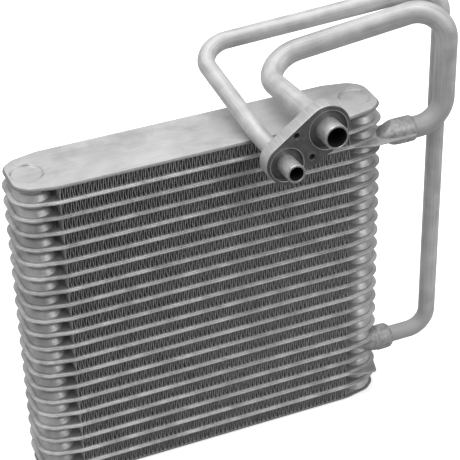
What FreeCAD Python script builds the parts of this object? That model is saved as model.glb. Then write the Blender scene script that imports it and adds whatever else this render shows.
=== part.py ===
import FreeCAD, Part
import math
import os
import Sketcher
from FreeCAD import Placement, Rotation, Vector

# Evaporator core of a vehicle air conditioner, brazed from aluminium sheet.
# Flat tubes and folded fins are stacked along Z between two end plates. The tubes run along X,
# the air blows along Y and the front is at -Y. The origin is the middle of the bottom plate's
# underside. Lengths are millimetres and angles are degrees.

doc = FreeCAD.newDocument("EvaporatorCore")
sheet = doc.addObject("Spreadsheet::Sheet", "Sizes")

SIZES = [
    ("PlateCount", 20, "flat tubes in the stack"),
    ("FinHeight", 9, "height of one fin layer"),
    ("TubeHeight", 3, "height of a flat tube outside"),
    ("SheetGauge", 0.6, "thickness of one pressed tube sheet"),
    ("EndPlateGauge", 2, "thickness of an end plate"),
    ("HalfDepth", 27, "half the depth of a tube over its rims"),
    ("ShoulderX", 108, "where the outline starts to taper"),
    ("KneeX", 126.5, "where the taper meets the nose"),
    ("KneeStep", 4, "how much less the half depth is there"),
    ("NoseX", 137, "half the length of a tube over its noses"),
    ("NoseStep", 8, "how much less again it is at the nose, before its corners are cut"),
    ("NoseCut", 5, "how far the nose's corners are cut off"),
    ("RimWidth", 4, "flat rim in front of and behind the channel"),
    ("CupInnerX", 109, "inner wall of the end cups"),
    ("CupInset", 3, "cup wall behind the rim's edge"),
    ("CupDraft", 2.2, "how far the cup wall draws in up to its floor"),
    ("EndPlateInset", 1.5, "end plate's edge behind the rims' edge"),
    ("RecessX", 121.5, "middle of the round recess in the end plate"),
    ("RecessRadius", 11.5, "round recess"),
    ("RecessDepth", 1.2, "depth of that recess"),
    ("FinEndGap", 5, "gap between a fin strip's end and the cups"),
    ("FinFrontGap", 2, "fin strip behind the rims' edge"),
    ("FinFolds", 7, "waves of a fin strip"),
    ("FinGauge", 0.5, "upright thickness of the folded strip"),
    ("SpoutRank", 2, "tube that carries the suction spout, from the top"),
    ("SpoutY", -19, "middle line of the spout"),
    ("NeckHalfHeight", 5.4, "half the height of the neck"),
    ("NeckHalfWidth", 8, "half the width of the neck"),
    ("NeckCorner", 3, "how far the neck's corners are cut off"),
    ("ShellX", 139, "where the neck becomes round"),
    ("ShellRadius", 9.5, "outside of the spout's round shell"),
    ("ShellLength", 19, "length of the round shell"),
    ("ShellSeat", 10, "how deep the suction pipe stands in the shell"),
    ("SpoutFlange", 12, "half the width over the spout's side flanges"),
    ("TabRank", 2, "tube that carries the blank tab, from the bottom"),
    ("TabReach", 4.2, "how far a pressed corner stands in front of the rims"),
    ("TabX", 129.5, "outer end of a pressed corner"),
    ("StubRank", 4, "tube above the liquid fitting, from the bottom"),
    ("StubY", -14, "middle line of the liquid fitting"),
    ("StubX", 124, "inner end of the liquid pipe in the cups"),
    ("FerruleX", 135, "where the ferrule starts"),
    ("FerruleRadius", 9.75, "outside of the ferrule"),
    ("FerruleLength", 13, "length of the ferrule"),
    ("BlockX", 40, "small lobe's middle on the block's front"),
    ("BlockY", -65, "small lobe's middle on the block's front"),
    ("BlockZ", 253.8, "small lobe's middle on the block's front"),
    ("BlockTilt", 4.5, "how far the block's front looks up"),
    ("BlockThickness", 12, "thickness of the flange block"),
    ("BoreStepX", 31.1, "from the liquid bore to the suction bore, across"),
    ("BoreStepY", 18.5, "from the liquid bore to the suction bore, up"),
    ("SmallLobe", 14.5, "radius of the block's end round the liquid bore"),
    ("BigLobe", 17, "radius of the block's end round the suction bore"),
    ("LobeShiftX", -0.7, "lobes beside their bores"),
    ("LobeShiftY", 1, "lobes above their bores"),
    ("SmallRing", 12, "radius of the seal recess round the liquid spigot"),
    ("BigRing", 14, "radius of the seal recess round the suction spigot"),
    ("RingDepth", 2.5, "depth of the seal recesses"),
    ("ScrewRadius", 2.1, "screw hole before its thread is cut, M5"),
    ("UpperScrewX", 7.7, "upper screw hole from the liquid bore"),
    ("UpperScrewY", 19.6, "upper screw hole from the liquid bore"),
    ("LowerScrewX", 18.4, "lower screw hole from the liquid bore"),
    ("LowerScrewY", 1.4, "lower screw hole from the liquid bore"),
    ("SuctionSpigotRadius", 8.7, "outside of the suction spigot"),
    ("SuctionSpigotBore", 7.1, "bore of the suction spigot"),
    ("SuctionSpigotReach", 13, "how far the suction spigot stands out"),
    ("LiquidSpigotRadius", 6.65, "outside of the liquid spigot"),
    ("LiquidSpigotBore", 5.1, "bore of the liquid spigot"),
    ("LiquidSpigotReach", 15, "how far the liquid spigot stands out"),
    ("SuctionRadius", 7.95, "outside of the suction pipe"),
    ("SuctionBore", 6.75, "bore of the suction pipe"),
    ("SuctionBend", 20, "bend radius of the suction pipe"),
    ("SuctionRiseX", 183, "upright run of the suction pipe"),
    ("SuctionTopZ", 324, "top corner of the suction pipe"),
    ("SuctionLeftX", 62.6, "left corner of the suction pipe"),
    ("SuctionLeftY", 48, "left corner of the suction pipe"),
    ("SuctionLeftZ", 268.9, "left corner of the suction pipe"),
    ("LiquidRadius", 6.35, "outside of the liquid pipe"),
    ("LiquidBore", 5.15, "bore of the liquid pipe"),
    ("LiquidBend", 16, "bend radius of the liquid pipe"),
    ("LiquidOffsetBend", 13, "bend radius where the liquid pipe steps down to the block"),
    ("LiquidRiseX", 180, "foot of the liquid pipe's upright run"),
    ("LiquidTopX", 188.5, "top corner of the liquid pipe"),
    ("LiquidTopY", 0, "top corner of the liquid pipe"),
    ("LiquidTopZ", 326.5, "top corner of the liquid pipe"),
    ("LiquidLeftX", 27.1, "left corner of the liquid pipe"),
    ("LiquidLeftY", 68, "left corner of the liquid pipe"),
    ("LiquidLeftZ", 280.5, "left corner of the liquid pipe"),
    ("LiquidStepX", 34, "liquid pipe above the top plate's front edge"),
    ("LiquidStepY", -30, "liquid pipe above the top plate's front edge"),
    ("LiquidStepZ", 260.2, "liquid pipe above the top plate's front edge"),
    ("PipeStraight", 8, "straight end of a pipe behind the block"),
    ("PipeSides", 12, "flat faces round a pipe and what it stands in"),
    ("BoreSides", 6, "flat faces round a pipe's bore"),
    ("BendStep", 22.5, "largest turn between two pieces of a bend"),
]
for row, (alias, value, note) in enumerate(SIZES, start=1):
    sheet.set(f"A{row}", alias)
    sheet.set(f"B{row}", str(value))
    sheet.setAlias(f"B{row}", alias)
    sheet.set(f"C{row}", note)
doc.recompute()


def number(text):
    """The value of an expression, which a script needs for a starting shape or a loop."""
    value = sheet.evalExpression(text.replace("Sizes.", ""))
    return float(getattr(value, "Value", value))


# One tube and one fin layer make one pitch of the stack.
PITCH = "(Sizes.FinHeight + Sizes.TubeHeight)"
PLATE_COUNT = round(number("PlateCount"))
SPOUT_RANK = round(number("SpoutRank"))
STUB_RANK = PLATE_COUNT + 1 - round(number("StubRank"))
TAB_RANK = PLATE_COUNT + 1 - round(number("TabRank"))


def tube_z(rank):
    """Middle plane of a tube, counted from 1 at the top."""
    above = f"{PITCH} * (Sizes.PlateCount - {rank})"
    return f"Sizes.EndPlateGauge + Sizes.FinHeight + Sizes.TubeHeight / 2 + {above}"


STACK_TOP = f"(Sizes.EndPlateGauge + Sizes.FinHeight + {PITCH} * Sizes.PlateCount)"


def new_body(name, place):
    """An empty body, put at a place given by expressions for x, y and z."""
    body = doc.addObject("PartDesign::Body", name)
    body.Label = name
    for axis, text in zip("xyz", place):
        body.setExpression(f"Placement.Base.{axis}", text)
    return body


def new_sketch(body, name, plane="XY_Plane", height="0"):
    """A sketch on one of the body's own planes, raised off it by an expression."""
    sketch = body.newObject("Sketcher::SketchObject", name)
    support = [feature for feature in body.Origin.OriginFeatures if feature.Role == plane][0]
    sketch.AttachmentSupport = [(support, "")]
    sketch.MapMode = "FlatFace"
    sketch.setExpression("AttachmentOffset.Base.z", height)
    return sketch


def bind(sketch, constraint, text):
    """Adds a constraint whose size follows an expression."""
    index = sketch.addConstraint(constraint)
    sketch.setExpression(f"Constraints[{index}]", text)


def place_point(sketch, edge, end, x, y):
    """Ties one point of the sketch to expressions for its two coordinates."""
    bind(sketch, Sketcher.Constraint("DistanceX", -1, 1, edge, end, number(x)), x)
    bind(sketch, Sketcher.Constraint("DistanceY", -1, 1, edge, end, number(y)), y)


def draw_polygon(sketch, points, construction=False):
    """Closed straight outline through numeric points, with its corners joined."""
    first = sketch.GeometryCount
    count = len(points)
    for i in range(count):
        line = Part.LineSegment(points[i], points[(i + 1) % count])
        sketch.addGeometry(line, construction)
    for i in range(count):
        following = first + (i + 1) % count
        sketch.addConstraint(Sketcher.Constraint("Coincident", first + i, 2, following, 1))
    return first


def draw_outline(sketch, corners, construction=False):
    """Closed straight outline whose corners are pairs of expressions."""
    points = [Vector(number(x), number(y), 0) for x, y in corners]
    first = draw_polygon(sketch, points, construction)
    for i, (x, y) in enumerate(corners):
        place_point(sketch, first + i, 1, x, y)
    return first


def draw_circle(sketch, x, y, radius):
    """Circle whose middle and radius are expressions."""
    middle = Vector(number(x), number(y), 0)
    edge = sketch.addGeometry(Part.Circle(middle, Vector(0, 0, 1), number(radius)), False)
    bind(sketch, Sketcher.Constraint("Radius", edge, number(radius)), radius)
    place_point(sketch, edge, 3, x, y)
    return edge


def draw_pipe_outline(sketch, x, y, radius):
    """Outline of a pipe with its flat faces, from expressions for its middle and radius."""
    turns = [f"{i} * 360 / Sizes.PipeSides" for i in range(round(number("PipeSides")))]
    corners = [(f"{x} + {radius} * cos({turn})", f"{y} + {radius} * sin({turn})") for turn in turns]
    draw_outline(sketch, corners)


def new_feature(body, kind, name, sketch, **sizes):
    """A pad, pocket or like feature with its sizes given as expressions."""
    feature = body.newObject(f"PartDesign::{kind}", name)
    feature.Profile = sketch
    for size, text in sizes.items():
        feature.setExpression(size, text)
    sketch.Visibility = False
    return feature


# Plan of a tube plate: long straight sides, tapered shoulders and squared noses.
NOSE_SLOPE = "(Sizes.NoseStep / (Sizes.NoseX - Sizes.KneeX))"
KNEE_HALF_DEPTH = "(Sizes.HalfDepth - Sizes.KneeStep)"
NOSE_HALF_DEPTH = "(Sizes.HalfDepth - Sizes.KneeStep - Sizes.NoseStep)"


def plate_corners(inset="0"):
    """Corners of the plate's outline, with its long sides drawn in by an inset."""
    half = [
        ("Sizes.ShoulderX", f"(Sizes.HalfDepth - {inset})"),
        ("Sizes.KneeX", f"({KNEE_HALF_DEPTH} - {inset} / 2)"),
        ("(Sizes.NoseX - Sizes.NoseCut)", f"({NOSE_HALF_DEPTH} + Sizes.NoseCut * {NOSE_SLOPE})"),
        ("Sizes.NoseX", f"({NOSE_HALF_DEPTH} - Sizes.NoseCut)"),
    ]
    right = [(x, f"-{y}") for x, y in half] + half[::-1]
    return right + [(f"-{x}", f"-({y})") for x, y in right]


# The outline has eight walls at each end, and a cup follows five of the right end's, or the
# five that lie opposite them.
END_WALLS = len(plate_corners()) // 2
CUP_WALLS = (0, 1, 3, 5, 6)


def inner_line(wall, gap):
    """Start and direction of a line at a distance to the left of an outline's wall."""
    along = (wall.EndPoint - wall.StartPoint).normalize()
    return wall.StartPoint + Vector(-along.y, along.x, 0) * gap, along


def crossing(first, second):
    """Where two lines meet, each given by a point and a direction."""
    (p, d), (q, e) = first, second
    reach = ((q.x - p.x) * e.y - (q.y - p.y) * e.x) / (d.x * e.y - d.y * e.x)
    return p + d * reach


def draw_cup(sketch, outline, inset):
    """Cup outline at an even distance inside the plate's outline, one at each end."""
    gap = number(inset)
    for side, first_wall in ((1, outline), (-1, outline + END_WALLS)):
        walls = [first_wall + i for i in CUP_WALLS]
        inner = side * number("CupInnerX")
        inner_wall = (Vector(inner, 0, 0), Vector(0, 1, 0))
        ring = [inner_wall] + [inner_line(sketch.Geometry[wall], gap) for wall in walls] + [inner_wall]
        corners = [crossing(before, after) for before, after in zip(ring, ring[1:])]
        first = draw_polygon(sketch, corners)
        for i, wall in enumerate(walls):
            for corner in (first + i, first + i + 1):
                bind(sketch, Sketcher.Constraint("Distance", corner, 1, wall, gap), inset)
        for corner in (first, first + len(walls)):
            place = Sketcher.Constraint("DistanceX", -1, 1, corner, 1, inner)
            bind(sketch, place, f"{side} * Sizes.CupInnerX")


CUP_SLOPE = f"(Sizes.CupDraft / ({PITCH} / 2))"


def draft_cups(body, name, upward):
    """Leans the outer walls of the cups on one side inwards, from the body's middle plane."""
    doc.recompute()
    base = body.Tip
    walls = []
    for i, face in enumerate(base.Shape.Faces, start=1):
        middle = face.CenterOfMass
        high = face.BoundBox.ZLength > number("TubeHeight")
        beyond_inner_wall = abs(middle.x) > number("CupInnerX + SheetGauge")
        if high and beyond_inner_wall and (middle.z > 0) == upward:
            walls.append(f"Face{i}")
    plane = [feature for feature in body.Origin.OriginFeatures if feature.Role == "XY_Plane"][0]
    draft = body.newObject("PartDesign::Draft", name)
    draft.Base = (base, walls)
    draft.NeutralPlane = (plane, [""])
    draft.Reversed = not upward
    draft.setExpression("Angle", f"atan({CUP_SLOPE})")


def tube_body(name, rank):
    """One flat tube: two pressed sheets brazed rim to rim, with a channel and two cups."""
    body = new_body(name, ("0", "0", tube_z(rank)))
    outline = new_sketch(body, name + "_rim_outline")
    draw_outline(outline, plate_corners())
    rim = new_feature(body, "Pad", name + "_rim", outline, Length="2 * Sizes.SheetGauge")
    rim.SideType = "Symmetric"

    channel_outline = new_sketch(body, name + "_channel_outline")
    reach = "Sizes.CupInnerX"
    wall = "(Sizes.HalfDepth - Sizes.RimWidth)"
    corners = [(f"-{reach}", f"-{wall}"), (reach, f"-{wall}"), (reach, wall), (f"-{reach}", wall)]
    draw_outline(channel_outline, corners)
    channel = new_feature(body, "Pad", name + "_channel", channel_outline, Length="Sizes.TubeHeight")
    channel.SideType = "Symmetric"

    cup_outline = new_sketch(body, name + "_cup_outline")
    plate = draw_outline(cup_outline, plate_corners(), construction=True)
    draw_cup(cup_outline, plate, "Sizes.CupInset")
    cups = new_feature(body, "Pad", name + "_cups", cup_outline, Length=PITCH)
    cups.SideType = "Symmetric"
    draft_cups(body, name + "_upper_draft", upward=True)
    draft_cups(body, name + "_lower_draft", upward=False)
    return body


def end_plate(name, place, turned):
    """End plate: a thicker pressing with a cup inwards at each end."""
    body = new_body(name, place)
    if turned:
        body.Placement = Placement(body.Placement.Base, Rotation(Vector(1, 0, 0), 180))
    outline = new_sketch(body, name + "_outline")
    draw_outline(outline, plate_corners("Sizes.EndPlateInset"))
    new_feature(body, "Pad", name + "_sheet", outline, Length="Sizes.EndPlateGauge")

    cup_outline = new_sketch(body, name + "_cup_outline")
    plate = draw_outline(cup_outline, plate_corners(), construction=True)
    cup_top = "(Sizes.EndPlateGauge + Sizes.FinHeight / 2)"
    draw_cup(cup_outline, plate, f"(Sizes.CupInset + Sizes.CupDraft - {CUP_SLOPE} * {cup_top})")
    new_feature(body, "Pad", name + "_cups", cup_outline, Length=cup_top)
    draft_cups(body, name + "_draft", upward=True)
    return body


# The stack: end plates, ordinary tubes, and the four tubes that carry a fitting or a tab.
bottom_end_plate = end_plate("bottom_end_plate", ("0", "0", "0"), turned=False)
TOP_FACE = f"({STACK_TOP} + Sizes.EndPlateGauge)"
top_end_plate = end_plate("top_end_plate", ("0", "0", TOP_FACE), turned=True)

# The top plate has a shallow round recess over each row of cups.
recess_outline = new_sketch(top_end_plate, "recess_outline")
draw_circle(recess_outline, "Sizes.RecessX", "0", "Sizes.RecessRadius")
draw_circle(recess_outline, "-Sizes.RecessX", "0", "Sizes.RecessRadius")
recess = new_feature(top_end_plate, "Pocket", "recess", recess_outline, Length="Sizes.RecessDepth")
recess.Reversed = True

parts = [top_end_plate]
special_ranks = (SPOUT_RANK, STUB_RANK, STUB_RANK + 1, TAB_RANK)
pattern_tube = None
tubes = {}
for rank in range(1, PLATE_COUNT + 1):
    name = f"tube_{rank:02d}"
    if rank in special_ranks or pattern_tube is None:
        tube = tube_body(name, rank)
        if rank not in special_ranks:
            pattern_tube = tube
    else:
        tube = doc.addObject("App::Link", name)
        tube.LinkedObject = pattern_tube
        tube.Label = name
        tube.setExpression("Placement.Base.z", tube_z(rank))
    tubes[rank] = tube
    parts.append(tube)

# Pressed front corner of the tubes that carry the spout and the tab.
def add_corner(body):
    """The rim's front right corner, left square by the press."""
    outline = new_sketch(body, body.Name + "_corner_outline")
    front = "(Sizes.HalfDepth + Sizes.TabReach)"
    corners = [
        ("Sizes.ShoulderX", "-(Sizes.HalfDepth - Sizes.RimWidth)"),
        ("Sizes.ShoulderX", "-Sizes.HalfDepth"),
        ("Sizes.KneeX - Sizes.TabReach", f"-{front}"),
        ("Sizes.TabX", f"-{front}"),
        ("Sizes.NoseX - Sizes.CupInset", f"-{NOSE_HALF_DEPTH}"),
    ]
    draw_outline(outline, corners)
    corner = new_feature(body, "Pad", body.Name + "_corner", outline, Length="2 * Sizes.SheetGauge")
    corner.SideType = "Symmetric"


add_corner(tubes[TAB_RANK])
spout_tube = tubes[SPOUT_RANK]
add_corner(spout_tube)

# Suction spout: a flattened neck that opens into a round shell, with the two sheets' flanges
# beside it. The suction pipe stands in the shell.
SHELL_END = "(Sizes.ShellX + Sizes.ShellLength)"
flange_outline = new_sketch(spout_tube, "spout_flange_outline")
near, far = "Sizes.SpoutY - Sizes.SpoutFlange", "Sizes.SpoutY + Sizes.SpoutFlange"
draw_outline(flange_outline, [
    ("Sizes.KneeX", near),
    (SHELL_END, near),
    (SHELL_END, far),
    ("Sizes.KneeX", far),
])
flange = new_feature(spout_tube, "Pad", "spout_flange", flange_outline, Length="2 * Sizes.SheetGauge")
flange.SideType = "Symmetric"

neck_outline = new_sketch(spout_tube, "spout_neck_outline", "YZ_Plane", "Sizes.CupInnerX + Sizes.CupInset")
left, right = "Sizes.SpoutY - Sizes.NeckHalfWidth", "Sizes.SpoutY + Sizes.NeckHalfWidth"
low, high = "-Sizes.NeckHalfHeight", "Sizes.NeckHalfHeight"
cut = "Sizes.NeckCorner"
draw_outline(neck_outline, [
    (f"{left} + {cut}", low),
    (f"{right} - {cut}", low),
    (right, f"{low} + {cut}"),
    (right, f"{high} - {cut}"),
    (f"{right} - {cut}", high),
    (f"{left} + {cut}", high),
    (left, f"{high} - {cut}"),
    (left, f"{low} + {cut}"),
])
new_feature(spout_tube, "Pad", "spout_neck", neck_outline,
            Length="Sizes.ShellX - Sizes.CupInnerX")

shell_outline = new_sketch(spout_tube, "spout_shell_outline", "YZ_Plane", "Sizes.ShellX")
draw_pipe_outline(shell_outline, "Sizes.SpoutY", "0", "Sizes.ShellRadius")
new_feature(spout_tube, "Pad", "spout_shell", shell_outline, Length="Sizes.ShellLength")

seat_outline = new_sketch(spout_tube, "spout_seat_outline", "YZ_Plane", SHELL_END)
draw_pipe_outline(seat_outline, "Sizes.SpoutY", "0", "Sizes.SuctionRadius")
new_feature(spout_tube, "Pocket", "spout_seat", seat_outline, Length="Sizes.ShellSeat")

# Liquid fitting: the pipe enters the cups of two tubes between their rims, and a turned ferrule
# on the pipe stands against their noses.
for rank, height in ((STUB_RANK, f"-{PITCH} / 2"), (STUB_RANK + 1, f"{PITCH} / 2")):
    tube = tubes[rank]
    for part, start, radius in (("pipe", "Sizes.StubX", "Sizes.LiquidRadius"),
                                ("ferrule", "Sizes.FerruleX", "Sizes.FerruleRadius")):
        outline = new_sketch(tube, f"{tube.Name}_{part}_outline", "YZ_Plane", start)
        draw_pipe_outline(outline, "Sizes.StubY", height, radius)
        cut = new_feature(tube, "Pocket", f"{tube.Name}_{part}_hole", outline,
                          Length="Sizes.NoseX - Sizes.StubX")
        cut.Reversed = True

STUB_Z = f"{tube_z(STUB_RANK)} - {PITCH} / 2"
ferrule = new_body("liquid_ferrule", ("0", "0", STUB_Z))
ring_outline = new_sketch(ferrule, "ferrule_outline", "YZ_Plane", "Sizes.FerruleX")
draw_pipe_outline(ring_outline, "Sizes.StubY", "0", "Sizes.FerruleRadius")
draw_pipe_outline(ring_outline, "Sizes.StubY", "0", "Sizes.LiquidRadius")
new_feature(ferrule, "Pad", "ferrule_ring", ring_outline, Length="Sizes.FerruleLength")
parts.append(ferrule)

# Folded fin strips, one in every gap of the stack.
FIN_END = "(Sizes.CupInnerX - Sizes.FinEndGap)"
WAVE = f"(2 * {FIN_END} / Sizes.FinFolds)"


def fin_body(name, height):
    """One strip folded into sharp waves that touch the tubes above and below."""
    body = new_body(name, ("0", "0", height))
    profile = new_sketch(body, name + "_wave_outline", "XZ_Plane")
    start, middle, end = f"-{FIN_END}", f"(-{FIN_END} + {WAVE} / 2)", f"(-{FIN_END} + {WAVE})"
    corners = [
        (start, "0"),
        (middle, "Sizes.FinHeight - Sizes.FinGauge"),
        (end, "0"),
        (end, "Sizes.FinGauge"),
        (middle, "Sizes.FinHeight"),
        (start, "Sizes.FinGauge"),
    ]
    draw_outline(profile, corners)
    wave = new_feature(body, "Pad", name + "_wave", profile,
                       Length="2 * (Sizes.HalfDepth - Sizes.FinFrontGap)")
    wave.SideType = "Symmetric"
    doc.recompute()
    row = body.newObject("PartDesign::LinearPattern", name + "_waves")
    row.Originals = [wave]
    row.Direction = (profile, ["H_Axis"])
    row.setExpression("Length", f"2 * {FIN_END} - {WAVE}")
    row.setExpression("Occurrences", "Sizes.FinFolds")
    body.Tip = row
    return body


def fin_z(layer):
    """Underside of a fin layer, counted from 1 at the top."""
    return f"Sizes.EndPlateGauge + {PITCH} * (Sizes.PlateCount + 1 - {layer})"


pattern_fin = fin_body("fin_01", fin_z(1))
parts.append(pattern_fin)
for layer in range(2, PLATE_COUNT + 2):
    fin = doc.addObject("App::Link", f"fin_{layer:02d}")
    fin.LinkedObject = pattern_fin
    fin.Label = f"fin_{layer:02d}"
    fin.setExpression("Placement.Base.z", fin_z(layer))
    parts.append(fin)
parts.append(bottom_end_plate)


# Flange block: a machined plate with two round ends, tilted up at the front. Its own Z axis
# points out of its front face and its own origin is the liquid bore's mouth.
def block_body(name):
    """An empty body in the block's own frame."""
    body = new_body(name, ("Sizes.BlockX", "Sizes.BlockY", "Sizes.BlockZ"))
    body.Placement = Placement(Vector(), Rotation(Vector(1, 0, 0), number("90 - BlockTilt")))
    body.setExpression("Placement.Rotation.Angle", "90 - Sizes.BlockTilt")
    return body


def draw_two_lobes(sketch, small, big):
    """Two arcs joined by tangent lines; each lobe is its middle's x and y and its radius."""
    (ax, ay, ar), (bx, by, br) = [[number(text) for text in lobe] for lobe in (small, big)]
    lean = math.atan2(by - ay, bx - ax)
    spread = math.acos((ar - br) / math.hypot(bx - ax, by - ay))
    upper, lower = lean + spread, lean - spread
    a, b, up = Vector(ax, ay, 0), Vector(bx, by, 0), Vector(0, 0, 1)

    def rim(middle, radius, angle):
        return middle + Vector(math.cos(angle), math.sin(angle), 0) * radius

    arc_a = Part.ArcOfCircle(Part.Circle(a, up, ar), upper, lower + 2 * math.pi)
    arc_b = Part.ArcOfCircle(Part.Circle(b, up, br), lower, upper)
    low_side = Part.LineSegment(rim(a, ar, lower), rim(b, br, lower))
    high_side = Part.LineSegment(rim(b, br, upper), rim(a, ar, upper))
    ring = [sketch.addGeometry(piece, False) for piece in (arc_a, low_side, arc_b, high_side)]
    for piece, following in zip(ring, ring[1:] + ring[:1]):
        sketch.addConstraint(Sketcher.Constraint("Tangent", piece, 2, following, 1))
    for arc, lobe in ((ring[0], small), (ring[2], big)):
        bind(sketch, Sketcher.Constraint("Radius", arc, number(lobe[2])), lobe[2])
        place_point(sketch, arc, 3, lobe[0], lobe[1])


LIQUID_BORE = ("0", "0")
SUCTION_BORE = ("Sizes.BoreStepX", "Sizes.BoreStepY")
block = block_body("flange_block")
block_outline = new_sketch(block, "block_outline", height="-Sizes.BlockThickness")
small_lobe = ("Sizes.LobeShiftX", "Sizes.LobeShiftY", "Sizes.SmallLobe")
big_lobe = ("Sizes.BoreStepX + Sizes.LobeShiftX", "Sizes.BoreStepY + Sizes.LobeShiftY", "Sizes.BigLobe")
draw_two_lobes(block_outline, small_lobe, big_lobe)
new_feature(block, "Pad", "block_plate", block_outline, Length="Sizes.BlockThickness")


def drill(body, name, middle, radius, depth):
    """Round hole from the block's front face to a depth."""
    outline = new_sketch(body, name + "_outline")
    draw_circle(outline, middle[0], middle[1], radius)
    new_feature(body, "Pocket", name, outline, Length=depth)


drill(block, "liquid_recess", LIQUID_BORE, "Sizes.SmallRing", "Sizes.RingDepth")
drill(block, "suction_recess", SUCTION_BORE, "Sizes.BigRing", "Sizes.RingDepth")
drill(block, "liquid_pipe_hole", LIQUID_BORE, "Sizes.LiquidRadius", "Sizes.BlockThickness")
drill(block, "suction_pipe_hole", SUCTION_BORE, "Sizes.SuctionRadius", "Sizes.BlockThickness")
drill(block, "upper_screw_hole", ("Sizes.UpperScrewX", "Sizes.UpperScrewY"),
      "Sizes.ScrewRadius", "Sizes.BlockThickness")
drill(block, "lower_screw_hole", ("Sizes.LowerScrewX", "Sizes.LowerScrewY"),
      "Sizes.ScrewRadius", "Sizes.BlockThickness")
parts.append(block)


def spigot_body(name, middle, radius, bore, reach):
    """A short tube that stands on the floor of its recess and out of the block's front."""
    body = block_body(name)
    outline = new_sketch(body, name + "_outline", height="-Sizes.RingDepth")
    draw_circle(outline, middle[0], middle[1], radius)
    draw_circle(outline, middle[0], middle[1], bore)
    new_feature(body, "Pad", name + "_tube", outline, Length=f"Sizes.RingDepth + {reach}")
    parts.append(body)


spigot_body("suction_spigot", SUCTION_BORE, "Sizes.SuctionSpigotRadius",
            "Sizes.SuctionSpigotBore", "Sizes.SuctionSpigotReach")
spigot_body("liquid_spigot", LIQUID_BORE, "Sizes.LiquidSpigotRadius",
            "Sizes.LiquidSpigotBore", "Sizes.LiquidSpigotReach")
doc.recompute()


# Pipes: drawn tube bent to shape, from the core to the back of the block.
def point(x, y, z):
    """A point from three expressions."""
    return Vector(number(x), number(y), number(z))


def block_point(middle, depth):
    """A point on one of the block's bores, at a depth behind its front face."""
    return block.Placement.multVec(Vector(number(middle[0]), number(middle[1]), -number(depth)))


def bent_route(corners, bends):
    """Runs joined by bends of given radii; a bend is short straight pieces that follow its arc."""
    points = [corners[0]]
    for before, corner, after, radius in zip(corners, corners[1:], corners[2:], bends):
        inward = (corner - before).normalize()
        outward = (after - corner).normalize()
        turn = inward.getAngle(outward)
        middle = corner + (outward - inward).normalize() * (radius / math.cos(turn / 2))
        arc_start = corner - inward * (radius * math.tan(turn / 2))
        spoke = (arc_start - middle) / radius
        pieces = math.ceil(math.degrees(turn) / number("BendStep"))
        step = turn / pieces
        for i in range(pieces):
            angle = (i + 0.5) * step
            direction = spoke * math.cos(angle) + inward * math.sin(angle)
            points.append(middle + direction * (radius / math.cos(step / 2)))
    return Part.makePolygon(points + [corners[-1]])


def bent_pipe(name, wire, radius, bore):
    """A tube along a route: one sweep with a smaller one cut out of it."""
    route = doc.addObject("Part::Feature", name + "_route")
    route.Shape = wire
    edges = [f"Edge{i}" for i in range(1, len(wire.Edges) + 1)]
    start, following = wire.Vertexes[0].Point, wire.Vertexes[1].Point
    sweeps = []
    for part, size, sides in (("outside", radius, "Sizes.PipeSides"), ("bore", bore, "Sizes.BoreSides")):
        outline = doc.addObject("Part::RegularPolygon", f"{name}_{part}_outline")
        outline.setExpression("Circumradius", size)
        outline.setExpression("Polygon", sides)
        outline.Placement = Placement(start, Rotation(Vector(0, 0, 1), following - start))
        sweep = doc.addObject("Part::Sweep", f"{name}_{part}")
        sweep.Sections = [outline]
        sweep.Spine = (route, edges)
        sweep.Solid = True
        sweep.Frenet = False
        sweep.Transition = "Right corner"
        sweeps.append(sweep)
    pipe = doc.addObject("Part::Cut", name)
    pipe.Label = name
    pipe.Base, pipe.Tool = sweeps
    doc.recompute()
    area = [sides / 2 * math.sin(2 * math.pi / sides) * size ** 2
            for sides, size in ((number("PipeSides"), number(radius)), (number("BoreSides"), number(bore)))]
    print(name, "length", round(wire.Length, 1), "volume", round(pipe.Shape.Volume),
          "section times length", round((area[0] - area[1]) * wire.Length))
    parts.append(pipe)


SPOUT_Z = tube_z(SPOUT_RANK)
suction_corners = [
    point(f"{SHELL_END} - Sizes.ShellSeat", "Sizes.SpoutY", SPOUT_Z),
    point("Sizes.SuctionRiseX", "Sizes.SpoutY", SPOUT_Z),
    point("Sizes.SuctionRiseX", "Sizes.SpoutY", "Sizes.SuctionTopZ"),
    point("Sizes.SuctionLeftX", "Sizes.SuctionLeftY", "Sizes.SuctionLeftZ"),
    block_point(SUCTION_BORE, "BlockThickness + PipeStraight"),
    block_point(SUCTION_BORE, "RingDepth"),
]
suction_bends = [number("SuctionBend")] * 4
bent_pipe("suction_pipe", bent_route(suction_corners, suction_bends),
          "Sizes.SuctionRadius", "Sizes.SuctionBore")

liquid_corners = [
    point("Sizes.StubX", "Sizes.StubY", STUB_Z),
    point("Sizes.LiquidRiseX", "Sizes.StubY", STUB_Z),
    point("Sizes.LiquidTopX", "Sizes.LiquidTopY", "Sizes.LiquidTopZ"),
    point("Sizes.LiquidLeftX", "Sizes.LiquidLeftY", "Sizes.LiquidLeftZ"),
    point("Sizes.LiquidStepX", "Sizes.LiquidStepY", "Sizes.LiquidStepZ"),
    block_point(LIQUID_BORE, "BlockThickness + PipeStraight"),
    block_point(LIQUID_BORE, "RingDepth"),
]
liquid_bends = [number("LiquidBend")] * 3 + [number("LiquidOffsetBend")] * 2
bent_pipe("liquid_pipe", bent_route(liquid_corners, liquid_bends),
          "Sizes.LiquidRadius", "Sizes.LiquidBore")

doc.recompute()
failed = [item.Name for item in doc.Objects if "Invalid" in item.State or "Error" in item.State]
if failed:
    raise RuntimeError("these did not build: " + ", ".join(failed))
for part in parts:
    shape = part.Shape
    if shape.isNull() or not shape.isValid() or len(shape.Solids) != 1:
        raise RuntimeError(part.Label + " is not one sound solid")

os.makedirs("parts", exist_ok=True)
for part in parts:
    part.Shape.exportStep(f"parts/{part.Label}.step")
print(len(parts), "parts written")
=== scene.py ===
import math

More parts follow.
